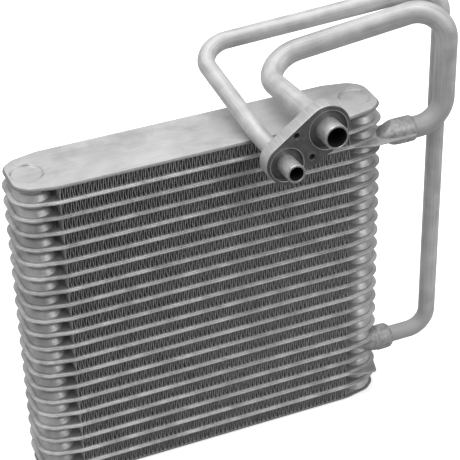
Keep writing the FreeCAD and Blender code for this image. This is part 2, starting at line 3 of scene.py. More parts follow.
import bmesh
import bpy
from mathutils import Euler, Matrix, Vector


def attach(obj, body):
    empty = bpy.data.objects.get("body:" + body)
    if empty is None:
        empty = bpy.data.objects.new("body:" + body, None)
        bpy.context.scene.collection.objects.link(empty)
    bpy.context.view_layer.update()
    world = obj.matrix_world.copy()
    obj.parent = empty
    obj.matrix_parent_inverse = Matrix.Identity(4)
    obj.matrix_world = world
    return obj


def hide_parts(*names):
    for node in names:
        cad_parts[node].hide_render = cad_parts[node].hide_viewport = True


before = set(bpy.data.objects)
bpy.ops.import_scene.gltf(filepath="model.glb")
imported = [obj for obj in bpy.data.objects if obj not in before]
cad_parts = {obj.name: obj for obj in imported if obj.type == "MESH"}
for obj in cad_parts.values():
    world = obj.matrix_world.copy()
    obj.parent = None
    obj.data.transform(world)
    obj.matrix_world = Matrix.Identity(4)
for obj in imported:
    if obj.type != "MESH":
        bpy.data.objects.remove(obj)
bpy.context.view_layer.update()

scene = bpy.context.scene
scene.view_settings.view_transform = "Standard"
MM = 0.001

# Camera.
# It stands in front of the core, to the left and above, at the photograph's place.
CAMERA_PLACE_MM = (-364.25, -965.69, 867.84)
CAMERA_TURN_DEG = (56.008, 1.345, -22.783)
camera_data = bpy.data.cameras.new("camera")
camera_data.lens = 136.37
camera_data.sensor_width = 36
camera_data.clip_start = 0.05
camera = bpy.data.objects.new("camera", camera_data)
camera.location = Vector(CAMERA_PLACE_MM) * MM
camera.rotation_euler = Euler([math.radians(angle) for angle in CAMERA_TURN_DEG])
scene.collection.objects.link(camera)
scene.camera = camera


# Studio.
# A floor of matt white paper and an even white surround. The camera sees both as white, while the
# light that they send to the part stays at a plain level. Little light comes from straight in
# front, as if a dark card stood there, so that the fronts of bright metal have contrast.
def linear(hex_colour):
    """An sRGB hex colour as linear red, green, blue and alpha."""
    channels = [int(hex_colour[i:i + 2], 16) / 255 for i in (1, 3, 5)]
    return [c / 12.92 if c <= 0.04045 else ((c + 0.055) / 1.055) ** 2.4 for c in channels] + [1.0]


def add_node(tree, kind, links=None, **settings):
    """One node of a tree, with its settings and its input links or values."""
    node = tree.nodes.new(kind)
    for name, value in settings.items():
        setattr(node, name, value)
    for name, value in (links or {}).items():
        if isinstance(value, bpy.types.NodeSocket):
            tree.links.new(value, node.inputs[name])
        else:
            node.inputs[name].default_value = value
    return node


FLOOR_REACH = 4.0
DARK_FLOOR_Y = 0.3
DARK_FLOOR_BLEND = 0.2
floor_mesh = bpy.data.meshes.new("floor")
corners = [(-FLOOR_REACH, -FLOOR_REACH, 0), (FLOOR_REACH, -FLOOR_REACH, 0),
           (FLOOR_REACH, FLOOR_REACH, 0), (-FLOOR_REACH, FLOOR_REACH, 0)]
floor_mesh.from_pydata(corners, [], [(0, 1, 2, 3)])
floor = bpy.data.objects.new("floor", floor_mesh)
scene.collection.objects.link(floor)
paper = bpy.data.materials.new("studio_paper")
paper.use_nodes = True
tree = paper.node_tree
tree.nodes.clear()
path = add_node(tree, "ShaderNodeLightPath")
place = add_node(tree, "ShaderNodeTexCoord").outputs["Object"]
front_way = add_node(tree, "ShaderNodeSeparateXYZ", {0: place}).outputs["Y"]
shade = add_node(tree, "ShaderNodeMapRange",
                 {"Value": front_way, "From Min": -DARK_FLOOR_Y - DARK_FLOOR_BLEND,
                  "From Max": -DARK_FLOOR_Y})
bounce = add_node(tree, "ShaderNodeMix", data_type="RGBA",
                  links={0: shade.outputs[0], 6: linear("#242424"), 7: linear("#bcbcbc")})
seen = path.outputs["Is Camera Ray"]
paper_colour = add_node(tree, "ShaderNodeMix", data_type="RGBA",
                        links={0: seen, 6: bounce.outputs[2], 7: linear("#f4f4f4")})
matt = add_node(tree, "ShaderNodeBsdfDiffuse", {"Color": paper_colour.outputs[2]})
glow = add_node(tree, "ShaderNodeEmission", {"Color": linear("#ffffff"), "Strength": 0.5})
both = add_node(tree, "ShaderNodeAddShader", {0: matt.outputs[0], 1: glow.outputs[0]})
pick = add_node(tree, "ShaderNodeMixShader", {0: seen, 1: matt.outputs[0], 2: both.outputs[0]})
add_node(tree, "ShaderNodeOutputMaterial", {"Surface": pick.outputs[0]})
floor_mesh.materials.append(paper)

world = bpy.data.worlds.new("studio")
scene.world = world
world.use_nodes = True
tree = world.node_tree
tree.nodes.clear()
seen = add_node(tree, "ShaderNodeLightPath").outputs["Is Camera Ray"]
way = add_node(tree, "ShaderNodeTexCoord").outputs["Generated"]
front_way = add_node(tree, "ShaderNodeSeparateXYZ", {0: way}).outputs["Y"]
level = add_node(tree, "ShaderNodeMapRange",
                 {"Value": front_way, "From Min": -0.95, "From Max": -0.45,
                  "To Min": 0.16, "To Max": 0.6})
dim = add_node(tree, "ShaderNodeBackground", {"Color": linear("#ffffff"), "Strength": level.outputs[0]})
white = add_node(tree, "ShaderNodeBackground", {"Color": linear("#ffffff"), "Strength": 1.0})
pick = add_node(tree, "ShaderNodeMixShader", {0: seen, 1: dim.outputs[0], 2: white.outputs[0]})
add_node(tree, "ShaderNodeOutputWorld", {"Surface": pick.outputs[0]})


def area_lamp(name, place, target, width, power):
    """A soft square lamp that looks at a point; lengths in metres, power in watts."""
    data = bpy.data.lights.new(name, "AREA")
    data.size = width
    data.energy = power
    lamp = bpy.data.objects.new(name, data)
    lamp.location = place
    lamp.rotation_euler = (Vector(target) - Vector(place)).to_track_quat("-Z", "Y").to_euler()
    scene.collection.objects.link(lamp)


area_lamp("top_lamp", (-0.2, 0.1, 2.1), (0, 0, 0.2), 1.8, 26)
area_lamp("front_lamp", (0.9, -1.6, 1.3), (0, 0, 0.15), 1.2, 12)


# Pressed tube sheets.
# Clad aluminium sheet 0.6 mm thick, pressed to a shallow channel with a drawn cup at each end.
# Twenty pairs are brazed rim to rim, and their cups stand on each other to form the headers.
TUBE_COUNT = 20
PITCH = 12
FIRST_TUBE_Z = 12.5
SHEET = 0.6
TUBE_HALF = 1.5
# Outline corners of the right half, from the front: x, y and the radius that rounds each.
PLATE_CORNERS = [(108, -27, 22), (126.5, -23, 10), (137, -15, 14),
                 (137, 15, 14), (126.5, 23, 10), (108, 27, 22)]
# The rim and channel, as insets from the outline and heights over the joint; the rim's edge
# shows the two sheets as a faint groove.
RIM_PROFILE = [(0.2, 0), (0.02, 0.1), (0, 0.3), (0.1, 0.5), (0.4, 0.66), (0.9, 0.78), (1.4, 1.05),
               (1.8, 1.35), (2.3, TUBE_HALF), (3, TUBE_HALF), (3.8, TUBE_HALF)]
# The cup's foot lies inside the plate's outline, and its three front corners have these radii.
CUP_INNER_X = 109
CUP_RADII = (11, 7, 11)
CUP_INSET = 3
# The cup's drawn wall, as insets from its foot and heights over the joint.
CUP_PROFILE = [(-0.2, 0.3), (0.1, 0.8), (0.6, 1.7), (1.2, 2.8), (1.85, 3.9), (2.5, 4.8),
               (3.2, 5.5), (3.9, 5.9), (4.5, 6)]
ARC_STEP = math.radians(7)


def rounded_outline(corners):
    """Flat outline through corners (x, y, radius), counter-clockwise, each rounded by an arc."""
    outline = []
    for i, (x, y, radius) in enumerate(corners):
        here = Vector((x, y))
        back = (Vector(corners[i - 1][:2]) - here).normalized()
        ahead = (Vector(corners[(i + 1) % len(corners)][:2]) - here).normalized()
        half = back.angle(ahead) / 2
        middle = here + (back + ahead).normalized() * (radius / math.sin(half))
        start = here + back * (radius / math.tan(half)) - middle
        end = here + ahead * (radius / math.tan(half)) - middle
        first = math.atan2(start.y, start.x)
        turn = (math.atan2(end.y, end.x) - first + math.pi) % (2 * math.pi) - math.pi
        pieces = max(2, math.ceil(abs(turn) / ARC_STEP))
        for k in range(pieces + 1):
            angle = first + turn * k / pieces
            outline.append(middle + Vector((math.cos(angle), math.sin(angle))) * radius)
    return outline


def circle(middle, radius, sides=48):
    """Round outline about a point."""
    return [Vector(middle) + Vector((math.cos(angle), math.sin(angle))) * radius
            for angle in (2 * math.pi * k / sides for k in range(sides))]


def drawn_in(outline, inset):
    """The outline at an even distance inside itself."""
    ring = []
    for i, here in enumerate(outline):
        before = (here - outline[i - 1]).normalized()
        after = (outline[(i + 1) % len(outline)] - here).normalized()
        inward = Vector((-before.y - after.y, before.x + after.x))
        ring.append(here + inward * (inset / (1 + before.dot(after))))
    return ring


def loft(bm, rings, capped=True, closed=False):
    """Skin over rings of as many points each, in millimetres. Gives the rings' mesh points."""
    made = [[bm.verts.new(Vector(point) * MM) for point in ring] for ring in rings]
    pairs = list(zip(made, made[1:]))
    if closed:
        pairs.append((made[-1], made[0]))
    for lower, upper in pairs:
        for i in range(len(lower)):
            j = (i + 1) % len(lower)
            bm.faces.new((lower[i], lower[j], upper[j], upper[i]))
    if capped:
        bm.faces.new(made[0][::-1])
        bm.faces.new(made[-1])
    return made


def at_height(outline, height):
    """A flat outline as points at a height."""
    return [(point.x, point.y, height) for point in outline]


def finish_piece(bm, name, materials, nodes, smooth_angle=38):
    """Makes the object: faces outwards, smooth up to an angle, with its materials."""
    bmesh.ops.recalc_face_normals(bm, faces=bm.faces)
    mesh = bpy.data.meshes.new(name)
    bm.to_mesh(mesh)
    bm.free()
    mesh.shade_smooth()
    mesh.set_sharp_from_angle(angle=math.radians(smooth_angle))
    for material in materials:
        mesh.materials.append(material)
    piece = bpy.data.objects.new(name, mesh)
    scene.collection.objects.link(piece)
    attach(piece, "root")
    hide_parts(*nodes)


def new_material(name, settings):
    """A material and its tree, its Principled shader and the place on the piece in metres."""
    material = bpy.data.materials.new(name)
    material.use_nodes = True
    tree = material.node_tree
    shader = tree.nodes["Principled BSDF"]
    for socket, value in settings.items():
        shader.inputs[socket].default_value = value
    place = add_node(tree, "ShaderNodeTexCoord").outputs["Object"]
    return material, tree, shader, place


# Brazed sheet: the furnace leaves a satin, slightly frosted skin. Cloudy patches some 15 mm wide
# are clad metal that flowed and set. Shallow dents 5 mm wide from the drawing and a fine grain
# of 0.6 mm break up the shine.
CLOUD_MM = 15
DENT_MM = 5
GRAIN_MM = 0.6
brazed_sheet, tree, shader, place = new_material("brazed_aluminium_sheet",
                                                 {"Metallic": 0.6, "Roughness": 0.45})
cloud = add_node(tree, "ShaderNodeTexNoise",
                 {"Vector": place, "Scale": 1 / (CLOUD_MM * MM), "Detail": 4.0})
grain = add_node(tree, "ShaderNodeTexNoise",
                 {"Vector": place, "Scale": 1 / (GRAIN_MM * MM), "Detail": 2.0})
tone = add_node(tree, "ShaderNodeMapRange",
                {"Value": cloud.outputs["Fac"], "From Min": 0.35, "From Max": 0.65})
colour = add_node(tree, "ShaderNodeMix", data_type="RGBA",
                  links={0: tone.outputs[0], 6: linear("#a8a8a8"), 7: linear("#cecece")})
tree.links.new(colour.outputs[2], shader.inputs["Base Color"])
dent = add_node(tree, "ShaderNodeTexNoise",
                {"Vector": place, "Scale": 1 / (DENT_MM * MM), "Detail": 1.0})
relief = add_node(tree, "ShaderNodeMath", operation="MULTIPLY_ADD",
                  links={0: grain.outputs["Fac"], 1: 0.04, 2: dent.outputs["Fac"]})
bump = add_node(tree, "ShaderNodeBump",
                {"Height": relief.outputs[0], "Strength": 0.35, "Distance": 1.0 * MM})
tree.links.new(bump.outputs[0], shader.inputs["Normal"])


# Torch-brazed ends: frosted and stained by the flame in patches 3 mm wide.
TORCH_MM = 3
torched, tree, shader, place = new_material("torch_brazed_aluminium",
                                            {"Metallic": 0.5, "Roughness": 0.5})
cloud = add_node(tree, "ShaderNodeTexNoise",
                 {"Vector": place, "Scale": 1 / (TORCH_MM * MM), "Detail": 5.0})
tone = add_node(tree, "ShaderNodeMapRange",
                {"Value": cloud.outputs["Fac"], "From Min": 0.35, "From Max": 0.65})
colour = add_node(tree, "ShaderNodeMix", data_type="RGBA",
                  links={0: tone.outputs[0], 6: linear("#969696"), 7: linear("#b6b6b6")})
tree.links.new(colour.outputs[2], shader.inputs["Base Color"])
bump = add_node(tree, "ShaderNodeBump",
                {"Height": cloud.outputs["Fac"], "Strength": 0.4, "Distance": 0.3 * MM})
tree.links.new(bump.outputs[0], shader.inputs["Normal"])


def tube_z(rank):
    """Joint of a tube's two sheets, counted from 1 at the top."""
    return FIRST_TUBE_Z + PITCH * (TUBE_COUNT - rank)


plate_outline = rounded_outline(PLATE_CORNERS + [(-x, -y, radius) for x, y, radius in PLATE_CORNERS])


def cup_outline():
    """Foot of the right cup: it follows the plate's nose, and rounds to a straight inner wall."""
    corners = [Vector(corner[:2]) for corner in PLATE_CORNERS]
    left = [Vector((-corner.x, -corner.y)) for corner in corners]
    shoulder, knee, nose = drawn_in(corners + left, CUP_INSET)[:3]
    inner = shoulder.lerp(knee, (CUP_INNER_X - shoulder.x) / (knee.x - shoulder.x))
    ring = [(point.x, point.y, radius) for point, radius in zip((inner, knee, nose), CUP_RADII)]
    return rounded_outline(ring + [(x, -y, radius) for x, y, radius in ring[::-1]])


right_cup = cup_outline()
left_cup = [-point for point in right_cup]


def add_tube(bm, height):
    """Rims, channel and both cups of one tube."""
    profile = [(inset, -rise) for inset, rise in RIM_PROFILE[:0:-1]] + RIM_PROFILE
    loft(bm, [at_height(drawn_in(plate_outline, inset), height + rise) for inset, rise in profile])
    wall = [(inset, -rise) for inset, rise in CUP_PROFILE[::-1]] + CUP_PROFILE
    for cup in (right_cup, left_cup):
        loft(bm, [at_height(drawn_in(cup, inset), height + rise) for inset, rise in wall])


# Suction spout, front corner tabs and liquid stub.
# The second tube's sheets run out in a spout: a flattened neck, a round shell that takes the
# suction pipe, and flanges at the joint. It and the nineteenth have a square pressed corner.
SPOUT_RANK = 2
SPOUT_Y = -19
# Neck and shell, as stations along x with half width, half height and squareness.
SPOUT_STATIONS = [(130, 3.6, 0.9, 2.6), (132, 5.8, 2.6, 2.6), (134.5, 7.3, 4.4, 2.5),
                  (137.5, 8.2, 6.3, 2.4), (140, 8.9, 8.2, 2.1), (142.5, 9.4, 9.2, 2),
                  (146, 9.5, 9.5, 2), (156.6, 9.5, 9.5, 2), (157.6, 9.3, 9.3, 2),
                  (158, 8.9, 8.9, 2), (158, 8.2, 8.2, 2), (157.4, 8, 8, 2), (149, 8, 8, 2)]
FLANGE_CORNERS = [(120, -31, 4), (158, -31, 5), (158, -7, 4), (120, -7, 4)]
# The cups of two tubes are drawn out into a sleeve that meets the liquid pipe's ferrule.
STUB_RANK = 17
STUB_AXIS = (-14, 42.5)
SLEEVE_STATIONS = [(119, 5), (127, 7.4), (131.5, 8.8), (135.2, 9.3), (135.6, 8.4)]
TAB_RANK = 19
TAB_GAUGE = 0.9 * SHEET
TAB_CORNERS = [(108, -24, 0.5), (108, -27, 0.5), (122.3, -31.2, 5), (129.5, -31.2, 3), (134, -15, 1)]
# The flat sheets' edge, as insets and as shares of their gauge.
EDGE_PROFILE = [(0.9, -1), (0.3, -1), (0.05, -0.75), (0, -0.3),
                (0, 0.3), (0.05, 0.75), (0.3, 1), (0.9, 1)]


def oval(x, middle, half_width, half_height, squareness, sides=40):
    """A section across the spout, from round to nearly square."""
    ring = []
    for k in range(sides):
        c, s = math.cos(2 * math.pi * k / sides), math.sin(2 * math.pi * k / sides)
        across = half_width * math.copysign(abs(c) ** (2 / squareness), c)
        up = half_height * math.copysign(abs(s) ** (2 / squareness), s)
        ring.append((x, middle[0] + across, middle[1] + up))
    return ring


def add_sheet(bm, corners, height, gauge):
    """Two flat sheets, one on the other, each of a gauge, with a soft edge."""
    outline = rounded_outline(corners)
    loft(bm, [at_height(drawn_in(outline, inset), height + rise * gauge)
              for inset, rise in EDGE_PROFILE])


for rank in range(1, TUBE_COUNT + 1):
    bm = bmesh.new()
    add_tube(bm, tube_z(rank))
    if rank in (SPOUT_RANK, TAB_RANK):
        add_sheet(bm, TAB_CORNERS, tube_z(rank), TAB_GAUGE)
    if rank == SPOUT_RANK:
        add_sheet(bm, FLANGE_CORNERS, tube_z(rank), SHEET)
        plain_faces = set(bm.faces)
        axis = (SPOUT_Y, tube_z(rank))
        loft(bm, [oval(x, axis, wide, high, square) for x, wide, high, square in SPOUT_STATIONS])
        for face in set(bm.faces) - plain_faces:
            face.material_index = 1
    if rank == STUB_RANK:
        plain_faces = set(bm.faces)
        loft(bm, [oval(x, STUB_AXIS, size, size, 2) for x, size in SLEEVE_STATIONS])
        for face in set(bm.faces) - plain_faces:
            face.material_index = 1
    finish_piece(bm, f"tube_plate_{rank:02d}", [brazed_sheet, torched],
                 [f"tube_{rank:02d}"])


# Folded fins.
# Plain aluminium strip 0.1 mm thick, folded into some 64 waves with louvres cut in their walls,
# and brazed between the tubes. It is drawn 0.28 mm thick, so that its edges show.
FIN_HALF_LENGTH = 107
FIN_DEPTH = 49.6
FIN_HEIGHT = 9
FIN_WAVES = 64
FIN_GAUGE = 0.28
FIN_ROWS = 11
COLUMNS_PER_WAVE = 6
SEED_STEP = 7.3
# Shares of a wave's length that each wall and each flat fold take up.
WALL_SHARE = 0.2
FLAT_SHARE = 0.3
# Rows crowd towards both faces of the core by this power of their distance from the middle.
ROW_POWER = 0.35
# How far folds drift and lean, how quickly that changes along the strip, up a wall and by seed,
# and the share of the strip at each end over which it sets in.
DRIFT_MM = 2.2
DRIFT_SCALE = (90, 0.8, 1)
LEAN_MM = 0.9
LEAN_SCALE = (1.7, 1.9, 3)
END_SHARE = 0.04
LOUVRE_MM = 0.2

# Bare strip: pale and matt, in faint clouds 3 mm wide.
STRIP_CLOUD_MM = 3
fin_stock, tree, shader, place = new_material("bare_fin_strip", {"Metallic": 0.1, "Roughness": 0.5})
cloud = add_node(tree, "ShaderNodeTexNoise",
                 {"Vector": place, "Scale": 1 / (STRIP_CLOUD_MM * MM), "Detail": 3.0})
tone = add_node(tree, "ShaderNodeMapRange",
                {"Value": cloud.outputs["Fac"], "From Min": 0.3, "From Max": 0.7})
colour = add_node(tree, "ShaderNodeMix", data_type="RGBA",
                  links={0: tone.outputs[0], 6: linear("#a4a4a4"), 7: linear("#d6d6d6")})
tree.links.new(colour.outputs[2], shader.inputs["Base Color"])

fin_tree = bpy.data.node_groups.new("folded_strip", "GeometryNodeTree")
for label, kind in (("Half Length", "Float"), ("Depth", "Float"), ("Height", "Float"),
                    ("Bottom", "Float"), ("Waves", "Int"), ("Rows", "Int"), ("Seed", "Float"),
                    ("Material", "Material")):
    fin_tree.interface.new_socket(name=label, in_out="INPUT", socket_type="NodeSocket" + kind)
fin_tree.interface.new_socket(name="Geometry", in_out="OUTPUT", socket_type="NodeSocketGeometry")
given = add_node(fin_tree, "NodeGroupInput").outputs
columns = add_node(fin_tree, "ShaderNodeMath",
                   {0: given["Waves"], 1: COLUMNS_PER_WAVE}, operation="MULTIPLY").outputs[0]
grid = add_node(fin_tree, "GeometryNodeMeshGrid", {"Vertices X": columns, "Vertices Y": given["Rows"]})
index = add_node(fin_tree, "GeometryNodeInputIndex").outputs[0]
# Each point's column along the strip, its row through the depth, and its place in the wave.
column = add_node(fin_tree, "ShaderNodeMath",
                  {0: index, 1: given["Rows"]}, operation="DIVIDE").outputs[0]
column = add_node(fin_tree, "ShaderNodeMath", {0: column}, operation="FLOOR").outputs[0]
row = add_node(fin_tree, "ShaderNodeMath", {0: index, 1: given["Rows"]}, operation="MODULO").outputs[0]
wave = add_node(fin_tree, "ShaderNodeMath",
                {0: column, 1: COLUMNS_PER_WAVE}, operation="DIVIDE").outputs[0]
wave = add_node(fin_tree, "ShaderNodeMath", {0: wave}, operation="FLOOR").outputs[0]
phase = add_node(fin_tree, "ShaderNodeMath",
                 {0: column, 1: COLUMNS_PER_WAVE}, operation="MODULO").outputs[0]
# Height in the wave: 0, a half and 1 going up, then the same going down.
falling = add_node(fin_tree, "ShaderNodeMath",
                   {0: COLUMNS_PER_WAVE - 1, 1: phase}, operation="SUBTRACT").outputs[0]
level = add_node(fin_tree, "ShaderNodeMath", {0: phase, 1: falling}, operation="MINIMUM").outputs[0]
level = add_node(fin_tree, "ShaderNodeMath", {0: level, 1: 0.5}, operation="MULTIPLY").outputs[0]
# Way along the wave: up a wall, along a flat fold, down a wall and along the next.
past_top = add_node(fin_tree, "ShaderNodeMath",
                    {0: phase, 1: (COLUMNS_PER_WAVE - 1) / 2}, operation="GREATER_THAN").outputs[0]
way = add_node(fin_tree, "ShaderNodeMath", operation="MULTIPLY_ADD",
               links={0: phase, 1: WALL_SHARE / 2, 2: FLAT_SHARE / 2}).outputs[0]
way = add_node(fin_tree, "ShaderNodeMath", operation="MULTIPLY_ADD",
               links={0: past_top, 1: FLAT_SHARE - WALL_SHARE / 2, 2: way}).outputs[0]
way = add_node(fin_tree, "ShaderNodeMath", {0: way, 1: wave}, operation="ADD").outputs[0]
share = add_node(fin_tree, "ShaderNodeMath", {0: way, 1: given["Waves"]}, operation="DIVIDE").outputs[0]
length = add_node(fin_tree, "ShaderNodeMath",
                  {0: given["Half Length"], 1: 2.0}, operation="MULTIPLY").outputs[0]
along = add_node(fin_tree, "ShaderNodeMath", {0: share, 1: -0.5}, operation="ADD").outputs[0]
along = add_node(fin_tree, "ShaderNodeMath", {0: along, 1: length}, operation="MULTIPLY").outputs[0]
# Rows stand closer together towards both faces of the core.
last_row = add_node(fin_tree, "ShaderNodeMath",
                    {0: given["Rows"], 1: 1.0}, operation="SUBTRACT").outputs[0]
depth = add_node(fin_tree, "ShaderNodeMath", {0: row, 1: last_row}, operation="DIVIDE").outputs[0]
depth = add_node(fin_tree, "ShaderNodeMath",
                 {0: depth, 1: 2.0, 2: -1.0}, operation="MULTIPLY_ADD").outputs[0]
size = add_node(fin_tree, "ShaderNodeMath", {0: depth}, operation="ABSOLUTE").outputs[0]
size = add_node(fin_tree, "ShaderNodeMath", {0: size, 1: ROW_POWER}, operation="POWER").outputs[0]
side = add_node(fin_tree, "ShaderNodeMath", {0: depth}, operation="SIGN").outputs[0]
depth = add_node(fin_tree, "ShaderNodeMath", {0: size, 1: side}, operation="MULTIPLY").outputs[0]
half_depth = add_node(fin_tree, "ShaderNodeMath",
                      {0: given["Depth"], 1: 0.5}, operation="MULTIPLY").outputs[0]
depth = add_node(fin_tree, "ShaderNodeMath", {0: depth, 1: half_depth}, operation="MULTIPLY").outputs[0]
# Uneven folding: a slow drift along the strip, and each fold's own lean.
drift_place = add_node(fin_tree, "ShaderNodeCombineXYZ",
                       {0: along, 1: level, 2: given["Seed"]}).outputs[0]
drift_place = add_node(fin_tree, "ShaderNodeVectorMath",
                       {0: drift_place, 1: DRIFT_SCALE}, operation="MULTIPLY")
drift = add_node(fin_tree, "ShaderNodeTexNoise", {"Vector": drift_place.outputs[0], "Scale": 1.0})
lean_place = add_node(fin_tree, "ShaderNodeCombineXYZ", {0: way, 1: level, 2: given["Seed"]}).outputs[0]
lean_place = add_node(fin_tree, "ShaderNodeVectorMath",
                      {0: lean_place, 1: LEAN_SCALE}, operation="MULTIPLY")
lean = add_node(fin_tree, "ShaderNodeTexNoise", {"Vector": lean_place.outputs[0], "Scale": 1.0})
shift = add_node(fin_tree, "ShaderNodeMath", operation="MULTIPLY_ADD",
                 links={0: drift.outputs["Fac"], 1: DRIFT_MM * MM, 2: -DRIFT_MM * MM / 2}).outputs[0]
bend = add_node(fin_tree, "ShaderNodeMath", operation="MULTIPLY_ADD",
                links={0: lean.outputs["Fac"], 1: LEAN_MM * MM, 2: -LEAN_MM * MM / 2}).outputs[0]
# The folds keep their place at the strip's two ends.
end_room = add_node(fin_tree, "ShaderNodeMath", {0: share, 1: 0.5}, operation="PINGPONG").outputs[0]
end_room = add_node(fin_tree, "ShaderNodeMath",
                    {0: end_room, 1: 1 / END_SHARE}, operation="MULTIPLY", use_clamp=True)
shift = add_node(fin_tree, "ShaderNodeMath", {0: shift, 1: bend}, operation="ADD").outputs[0]
shift = add_node(fin_tree, "ShaderNodeMath",
                 {0: shift, 1: end_room.outputs[0]}, operation="MULTIPLY").outputs[0]
# Louvres: the middle of each wall steps to one side and the other, row by row.
parity = add_node(fin_tree, "ShaderNodeMath", {0: row, 1: 2.0}, operation="MODULO").outputs[0]
louvre = add_node(fin_tree, "ShaderNodeMath", operation="MULTIPLY_ADD",
                  links={0: parity, 1: 2 * LOUVRE_MM * MM, 2: -LOUVRE_MM * MM}).outputs[0]
in_wall = add_node(fin_tree, "ShaderNodeMath",
                   {0: level, 1: 0.5, 2: 0.1}, operation="COMPARE").outputs[0]
louvre = add_node(fin_tree, "ShaderNodeMath", {0: louvre, 1: in_wall}, operation="MULTIPLY").outputs[0]
shift = add_node(fin_tree, "ShaderNodeMath", {0: shift, 1: louvre}, operation="ADD").outputs[0]
along = add_node(fin_tree, "ShaderNodeMath", {0: along, 1: shift}, operation="ADD").outputs[0]
rise = add_node(fin_tree, "ShaderNodeMath", {0: level, 1: given["Height"], 2: given["Bottom"]},
                operation="MULTIPLY_ADD").outputs[0]
target = add_node(fin_tree, "ShaderNodeCombineXYZ", {0: along, 1: depth, 2: rise}).outputs[0]
placed = add_node(fin_tree, "GeometryNodeSetPosition",
                  {"Geometry": grid.outputs["Mesh"], "Position": target})
real = add_node(fin_tree, "GeometryNodeRealizeInstances", {"Geometry": placed.outputs[0]})
dressed = add_node(fin_tree, "GeometryNodeSetMaterial",
                   {"Geometry": real.outputs[0], "Material": given["Material"]})
add_node(fin_tree, "NodeGroupOutput", {"Geometry": dressed.outputs[0]})
fin_sockets = {item.name: item.identifier for item in fin_tree.interface.items_tree
               if item.in_out == "INPUT"}


def fin_strip(layer):
    """One folded strip as a plain closed mesh, each with a seed of its own."""
    name = f"fin_strip_{layer:02d}"
    strip = bpy.data.objects.new(name, bpy.data.meshes.new(name))
    scene.collection.objects.link(strip)
    folding = strip.modifiers.new("folding", "NODES")
    folding.node_group = fin_tree
    bottom = tube_z(layer) + TUBE_HALF + FIN_GAUGE / 2
    values = {"Half Length": FIN_HALF_LENGTH * MM, "Depth": FIN_DEPTH * MM,
              "Height": (FIN_HEIGHT - FIN_GAUGE) * MM, "Bottom": bottom * MM, "Waves": FIN_WAVES,
              "Rows": FIN_ROWS, "Seed": layer * SEED_STEP, "Material": fin_stock}
    for label, value in values.items():
        folding[fin_sockets[label]] = value
    gauge = strip.modifiers.new("gauge", "SOLIDIFY")
    gauge.thickness = FIN_GAUGE * MM
    gauge.offset = 0
    bpy.context.view_layer.update()
    made = bpy.data.meshes.new_from_object(strip.evaluated_get(bpy.context.evaluated_depsgraph_get()))
    strip.modifiers.clear()
    bm = bmesh.new()
    bm.from_mesh(made)
    bmesh.ops.recalc_face_normals(bm, faces=bm.faces)
    bm.to_mesh(made)
    bm.free()
    strip.data = made
    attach(strip, "root")
    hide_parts(f"fin_{layer:02d}")


for layer in range(1, TUBE_COUNT + 2):
    fin_strip(layer)


# End plates.
# Thicker aluminium pressings that close the stack, with their edges rolled over and a cup at each
# end. The top one has a round recess over each header, and stains where the flux ran and dried.
END_GAUGE = 2
TOP_FACE_Z = 253
# Plate edge and cup, as insets and depths below the outer face.
END_EDGE = [(3.2, 0), (2.9, 0.04), (2.4, 0.28), (2, 0.6), (1.65, 1), (1.5, 1.4), (1.6, 1.75),
            (1.9, 1.95), (2.6, END_GAUGE), (4, END_GAUGE)]
END_CUP = [(0.2, 1.4), (0.9, 2.1), (1.45, 3.3), (2, 4.4), (2.6, 5.3), (3.3, 6), (4, 6.4), (4.5, 6.5)]
RECESS_X = 121.5
RECESS_PROFILE = [(11.9, 0), (11.6, 0.04), (11.3, 0.2), (11, 0.55), (10.7, 0.9), (10.2, 1.12),
                  (9.5, 1.2), (8.6, 1.2)]

# Brazed plate: pale and nearly matt. Dried flux leaves paler clouds some 22 mm wide and a few
# greyer smudges 30 mm long, fine rolling marks 0.8 mm apart run along the plate, and it is
# slightly wavy over 9 mm.
WAVY_MM = 9
STAIN_MM = 22
SMUDGE_MM = 30
ROLLING_MM = 0.8
flux_plate, tree, shader, place = new_material("fluxed_aluminium_plate", {"Metallic": 0.45})
warp = add_node(tree, "ShaderNodeTexNoise",
                {"Vector": place, "Scale": 1 / (WAVY_MM * MM), "Detail": 5.0, "Roughness": 0.6})
stain = add_node(tree, "ShaderNodeTexNoise",
                 {"Vector": place, "Scale": 1 / (STAIN_MM * MM), "Detail": 4.0})
pale = add_node(tree, "ShaderNodeMapRange",
                {"Value": stain.outputs["Fac"], "From Min": 0.35, "From Max": 0.65})
flux = add_node(tree, "ShaderNodeMix", data_type="RGBA",
                links={0: pale.outputs[0], 6: linear("#c0c0c0"), 7: linear("#d0d0d0")})
smear = add_node(tree, "ShaderNodeMapping",
                 {"Vector": place, "Scale": (0.6, 1, 1), "Location": (0.4, 0.1, 0)})
smudge = add_node(tree, "ShaderNodeTexNoise",
                  {"Vector": smear.outputs[0], "Scale": 1 / (SMUDGE_MM * MM), "Detail": 6.0,
                   "Roughness": 0.65})
smudged = add_node(tree, "ShaderNodeMapRange",
                   {"Value": smudge.outputs["Fac"], "From Min": 0.54, "From Max": 0.78})
stains_and_shade = add_node(tree, "ShaderNodeMix", data_type="RGBA",
                   links={0: smudged.outputs[0], 6: flux.outputs[2], 7: linear("#a8a8a8")})
